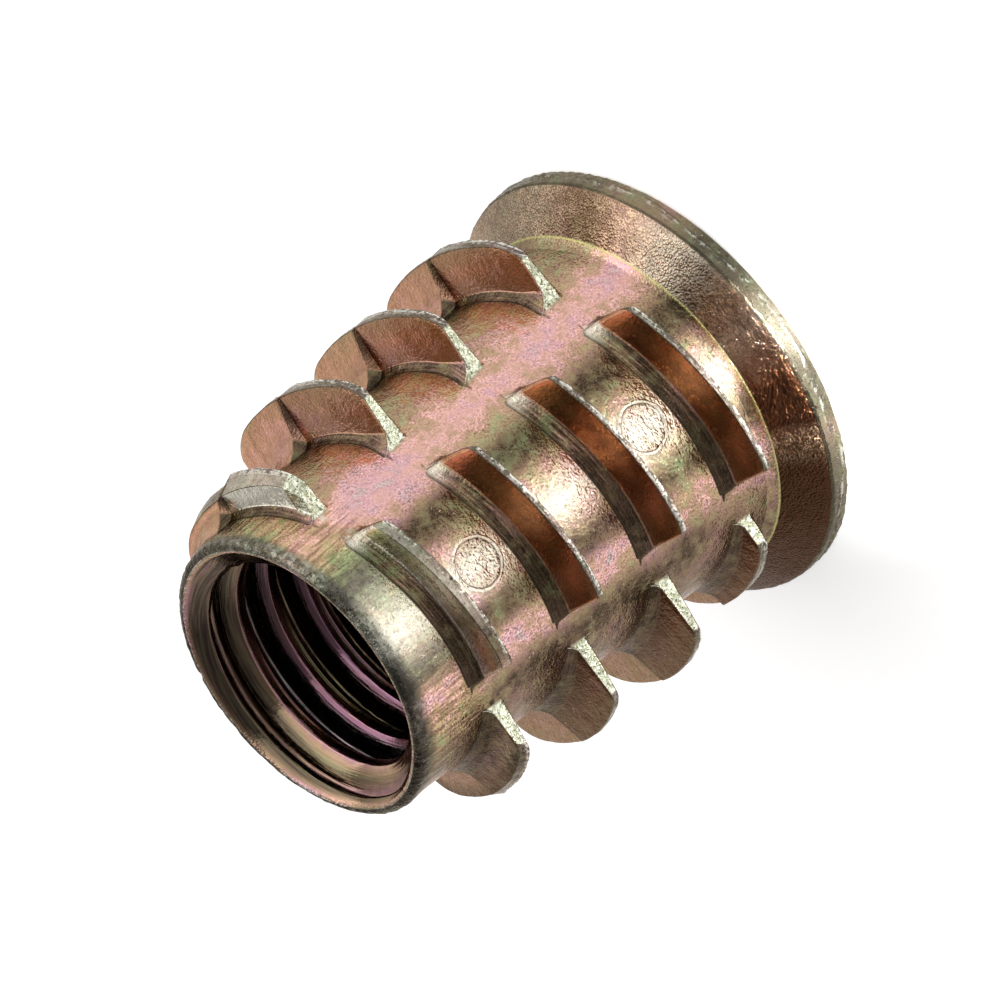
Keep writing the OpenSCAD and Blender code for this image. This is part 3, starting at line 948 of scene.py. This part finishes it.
skin = tint(1.0, skin, speckle, "MULTIPLY")
cloud = plus(times(minus(close, 0.5), 1.6), times(spread, 3.2))
# tarnish and painted shade darken the film to dark brown
darkened = times(darkening, plus(0.95, times(cloud, grainy)), clamp=True)
put(out["Color"], tint(darkened, skin, (0.050, 0.038, 0.022)))
print(film.name, "of", len(film.nodes), "nodes")

# %% Cast grain
grain, (place, pebbly), out = group("cast_grain", "Position Pebble", "Height Speck")
pits = noise(place, 12.0, 1.0, 0.7)
soft = noise(place, 3.0, 1.0, 0.6)
stones = node(grain, "TexVoronoi", {"feature": "F1"}, Vector=place, Scale=15.0)
pebbles = times(times(stones.outputs["Distance"], 0.75), pebbly)
put(out["Height"], minus(plus(times(pits, 0.55), times(soft, 0.7)), pebbles))
put(out["Speck"], remap(pits, 0.60, 0.66))
print(grain.name, "of", len(grain.nodes), "nodes")

# %% Drawn lines
drawn, (place, lane), out = group("drawn_lines", "Position Lane", "Line")
parts = node(drawn, "SeparateXYZ", {}, place).outputs
along = times(parts["X"], 0.7), times(parts["Y"], 0.7), times(lane, 13.0)
track = node(drawn, "CombineXYZ", {}, *along).outputs[0]
put(out["Line"], remap(noise(track, 1.0, 2.0, 0.6), 0.36, 0.64))
print(drawn.name, "of", len(drawn.nodes), "nodes")

# %% Pin marks
pins, (place, *heights), out = group("pin_marks", "Position Low High", "Disc Ring Groove")
parts = node(pins, "SeparateXYZ", {}, place).outputs
rise = math("MINIMUM", *(math("ABSOLUTE", minus(parts["Z"], height)) for height in heights))
reach = math("SQRT", plus(times(rise, rise), times(parts["Y"], parts["Y"])))
reach = plus(reach, times(minus(noise(place, 1.6, 2.0, 0.6), 0.5), 0.12))
for label, middle, width in (("Ring", PIN_R, 0.045), ("Groove", 0.665, 0.035)):
    away = math("ABSOLUTE", minus(reach, middle))
    put(out[label], remap(away, 0.0, width, 1.0, 0.0))
put(out["Disc"], remap(reach, 0.60, 0.68, 1.0, 0.0))
print(pins.name, "of", len(pins.nodes), "nodes")

# %% [markdown]
# ## One material for the whole casting
# The casting went through one bath, so it has one material. Its colour starts as the film,
# and each place is then laid over it by its own mark: copper, shade, the bore, bare metal and
# the small things. It is metal all over, because a chromate film is clear and thin.

# %% Material and what it reads
chromate = bpy.data.materials.new("zinc_chromate")
chromate.use_nodes = True
tree = chromate.node_tree
shader = tree.nodes["Principled BSDF"]
place = scaled(node(tree, "TexCoord").outputs["Object"], (1 / MM,) * 3)      # in millimetres
mark = {name: node(tree, "Attribute", {"attribute_name": name}).outputs["Fac"] for name in marks}
rough = node(tree, "Group", {"node_tree": grain}, place, mark["under"]).outputs
line = node(tree, "Group", {"node_tree": drawn}, place, mark["lane"]).outputs["Line"]
pin = node(tree, "Group", {"node_tree": pins}, place, *PIN_HEIGHTS).outputs
patches = noise(place, 4.5, 2.0, 0.65)
flecks = noise(place, 8.0, 1.0, 0.7)
print("the material reads", len(mark), "marks")

# %% The film's colour
# Lines stand out on the fillets and a little in the bore, and there the grain is calm
drawn_on = times(mark["fillet"], remap(mark["front"], 0, 1, 0.3, 0.7))
drawn_on = plus(drawn_on, times(mark["bore"], 0.14), clamp=True)
calm = math("MAXIMUM", times(mark["bore"], 0.9), times(minus(mark["flank"], mark["gold"]), 0.5))
grainy = minus(1.0, math("MAXIMUM", calm, times(mark["still"], 0.6)), clamp=True)
# tarnish and painted shade, darker along the drawn lines on the fillets
tarnished_and_shaded = plus(mark["tarnish"], times(minus(0.5, line), times(drawn_on, 1.5)), clamp=True)
coat = node(tree, "Group", {"node_tree": film}, place, mark["film"], tarnished_and_shaded, grainy).outputs[0]
streak = noise(scaled(place, (9, 9, 0.8)), 1.0, 2.0, 0.6)
scored = tint(remap(streak, 0.38, 0.62), (0.50, 0.47, 0.40), (1.30, 1.30, 1.25))
colour = tint(times(mark["scored"], 0.8), coat, tint(1.0, coat, scored, "MULTIPLY"))
# painted highlight: a pale cream laid over the marked places
pale = times(mark["pale"], remap(patches, 0.36, 0.56, 0.55, 1.0), clamp=True)
colour = tint(pale, colour, (0.97, 0.91, 0.76))
print("film:", len(tree.nodes), "nodes so far")

# %% Copper and shade
# Copper brown lies on the flanks and the underside, and shade in the fillets. On the flanks it is a
# painted reflection, darkest on the front fins, and on the underside the pebbles are painted
# lighter on top and darker between, a painted highlight and shade
copper = tint(mark["front"], (0.90, 0.43, 0.25), (0.43, 0.195, 0.095))
copper = tint(mark["gold"], copper, (0.28, 0.165, 0.085))
copper = tint(remap(patches, 0.35, 0.65, 0.0, 0.25), copper, (0.20, 0.070, 0.030))
# painted highlight and shade: pebbles lighter on their tops and darker between them
pebble_highlight_and_shade = tint(remap(rough["Height"], 0.15, 0.60), (0.20, 0.12, 0.06), (0.95, 0.66, 0.42))
copper = tint(mark["under"], copper, pebble_highlight_and_shade)
# tarnish and painted shade darken the copper
copper = tint(mark["tarnish"], copper, (0.07, 0.027, 0.012))
colour = tint(mark["copper"], colour, copper)
shade = times(mark["shade"], remap(line, 0.1, 0.9, 0.7, 1.15), clamp=True)
colour = tint(shade, colour, (0.020, 0.013, 0.007))
print("copper and shade:", len(tree.nodes), "nodes so far")

# %% Colours of the thread
threads = ramp(plus(mark["film"], times(minus(patches, 0.5), 0.3)), (
    (0.00, (0.16, 0.24, 0.15)), (0.20, (0.38, 0.36, 0.19)), (0.42, (0.56, 0.37, 0.22)),
    (0.60, (0.44, 0.24, 0.25)), (0.76, (0.44, 0.20, 0.32)), (0.90, (0.42, 0.32, 0.36)),
    (1.00, (0.24, 0.34, 0.30))))
# the bore's painted shade darkens the thread's colours
colour = tint(mark["bore"], colour, tint(tarnished_and_shaded, threads, (0.060, 0.040, 0.034)))
print("thread:", len(tree.nodes), "nodes so far")

# %% Bare metal
# It shows on the crests, the walls, the tip and the flange's rim. The bright flecks on each crest's
# burr are wear and a painted highlight, and the bright walls are a painted highlight
rubbed = plus(times(flecks, 0.6), times(line, 0.25))
bare = tint(remap(rubbed, 0.42, 0.51), (0.085, 0.085, 0.075), (0.80, 0.82, 0.74))
dark_bare = tint(mark["rim"], (0.07, 0.065, 0.05), (0.16, 0.145, 0.105))
# the burr along each crest is bright and the rest dark: wear and a painted highlight
bare = tint(mark["ridge"], dark_bare, bare)
veins = math("ABSOLUTE", minus(noise(place, 3.5, 3.0, 0.7, 1.0), 0.5))
# painted highlight: bright silver on the walls, with dark veins
wall_highlight = tint(remap(flecks, 0.40, 0.60), (0.52, 0.54, 0.38), (0.92, 0.96, 0.78))
bare = tint(mark["wall"], bare, tint(remap(veins, 0.0, 0.035), (0.22, 0.23, 0.13), wall_highlight))
charcoal = tint(remap(patches, 0.40, 0.68), (0.060, 0.060, 0.052), (0.34, 0.34, 0.29))
# tarnish and painted shade darken the tip's charcoal
bare = tint(mark["tip"], bare, tint(mark["tarnish"], charcoal, (0.024, 0.022, 0.020)))
rub = plus(times(mark["crest"], 0.9), plus(mark["wall"], mark["worn"]))
rub = plus(rub, times(mark["tip"], 0.85), clamp=True)
colour = tint(times(rub, 0.95), colour, bare)
print("bare metal:", len(tree.nodes), "nodes so far")

# %% Small things
# These are the line under the flange, painted glints, specks, seams with painted shade, and the
# pins' rings, painted bright with painted shade in their grooves
colour = tint(times(mark["line"], 0.8), colour, (0.50, 0.50, 0.18))
# painted glints: sparse bright specks on the grainy places
glint = remap(noise(place, 7.0, 3.0, 0.8, 2.0), 0.655, 0.70, 0.0, 0.8)
glint = times(glint, minus(grainy, plus(mark["under"], mark["fillet"]), clamp=True))
colour = tint(glint, colour, (0.95, 0.84, 0.62))
# painted highlight on the pins' raised rings
colour = tint(times(mark["pin"], times(pin["Ring"], 0.8)), colour, (0.85, 0.78, 0.64))
dark = times(rough["Speck"], times(grainy, plus(times(rub, 0.5), 0.3)))
# painted shade along the seams and creases
dark = math("MAXIMUM", dark, times(mark["seam"], 0.9))
# painted shade in the grooves round the pins
dark = math("MAXIMUM", dark, times(mark["pin"], times(pin["Groove"], 0.85)))
put(shader.inputs["Base Color"], tint(dark, colour, (0.040, 0.032, 0.020)))
print("small things:", len(tree.nodes), "nodes so far")

# %% Gloss and relief
# A dirty skin mirrors less than clean metal does at a low angle
GRAIN_HEIGHT = 0.042 * MM
put(shader.inputs["Metallic"], 1.0)
put(shader.inputs["Specular Tint"], (0.78, 0.73, 0.68))
gloss = remap(patches, 0.3, 0.7, 0.14, 0.30)
put(shader.inputs["Roughness"], minus(gloss, times(mark["bore"], 0.08)))
relief = times(rough["Height"], plus(grainy, times(pin["Disc"], mark["pin"])))
relief = plus(relief, times(times(pin["Ring"], 0.3), mark["pin"]))
relief = plus(relief, times(streak, times(mark["scored"], 0.8)))
relief = plus(relief, times(line, times(drawn_on, 0.5)))
bump = node(tree, "Bump", {}, Strength=1.0, Distance=GRAIN_HEIGHT, Height=relief)
put(shader.inputs["Normal"], bump.outputs["Normal"])
insert.data.materials.append(chromate)
print(chromate.name, "has", len(tree.nodes), "nodes and", len(tree.links), "links")

# %% [markdown]
# ## Floor, world and lamps
# The insert stands on pale paper. A wide softbox hangs over it, a small lamp with a snoot
# brightens the paper in front of it, and the paper throws that light back on the casting.
# The room is white towards the horizon and dimmer overhead, so the metal has something dark
# to mirror.

# %% Floor
def plain(name, colour):
    """A matt material of one colour."""
    material = bpy.data.materials.new(name)
    material.use_nodes = True
    sheet = material.node_tree.nodes["Principled BSDF"]
    for label, value in (("Base Color", colour), ("Roughness", 0.9), ("Specular IOR Level", 0.1)):
        put(sheet.inputs[label], value)
    return material

def glow(material, strength):
    """Adds strength of white to a matt material for the rays that see it or mirror it."""
    tree = material.node_tree
    path = node(tree, "LightPath").outputs
    seen = math("MAXIMUM", path["Is Camera Ray"], path["Is Glossy Ray"])
    seen = math("MAXIMUM", seen, path["Is Transmission Ray"])
    sheet = tree.nodes["Principled BSDF"]
    put(sheet.inputs["Emission Color"], (1, 1, 1))
    put(sheet.inputs["Emission Strength"], times(seen, strength))
    return material

FLOOR = 0.9        # metres from the middle of the sheet to its edges
floor_mesh = bpy.data.meshes.new("floor")
corners = [(x * FLOOR, y * FLOOR, 0) for x, y in ((-1, -1), (1, -1), (1, 1), (-1, 1))]
floor_mesh.from_pydata(corners, [], [(0, 1, 2, 3)])
floor = show("floor", floor_mesh)
floor.data.materials.append(glow(plain("paper", (0.86, 0.86, 0.86)), 0.5))
floor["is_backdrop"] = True
print("a sheet of paper", 2 * FLOOR, "m across")

# %% Lamps
def hang(name, kind, place, aim, power):
    """A lamp at place that points at aim, both in millimetres."""
    light = bpy.data.lights.new(name, kind)
    light.energy = power
    lamp = show(name, light)
    lamp.location = Vector(place) * MM
    lamp.rotation_euler = (Vector(aim) * MM - lamp.location).to_track_quat("-Z", "Y").to_euler()
    return light

softbox = hang("softbox", "AREA", (-40, 260, 345), (0, 0, 7), 0.88)
softbox.shape, softbox.size = "SQUARE", 0.46
pool = hang("snoot", "SPOT", (155, -2.5, 50), (17, -2.5, 0), 38.0)
pool.spot_size, pool.spot_blend, pool.shadow_soft_size = np.radians(2.4), 1.0, 0.004
print("lamps:", [light.name for light in bpy.data.lights])

# %% World
world = bpy.data.worlds.new("studio")
world.use_nodes = True
tree = world.node_tree
way = node(tree, "TexCoord").outputs["Generated"]
height = node(tree, "SeparateXYZ", {}, way).outputs["Z"]
sky = ramp(height, [(at, (grey,) * 3) for at, grey in ((0.36, 1.0), (0.56, 0.74), (0.76, 0.28))])
put(tree.nodes["Background"].inputs["Color"], sky)
put(tree.nodes["Background"].inputs["Strength"], 1.0)
scene.world = world
scene.view_settings.view_transform = "Standard"
print("world:", world.name)

# %% Size
size = {"cad": cad_box, "visual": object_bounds()}
size = {name: [list(corner) for corner in box] for name, box in size.items()}
print("size in metres:", size)
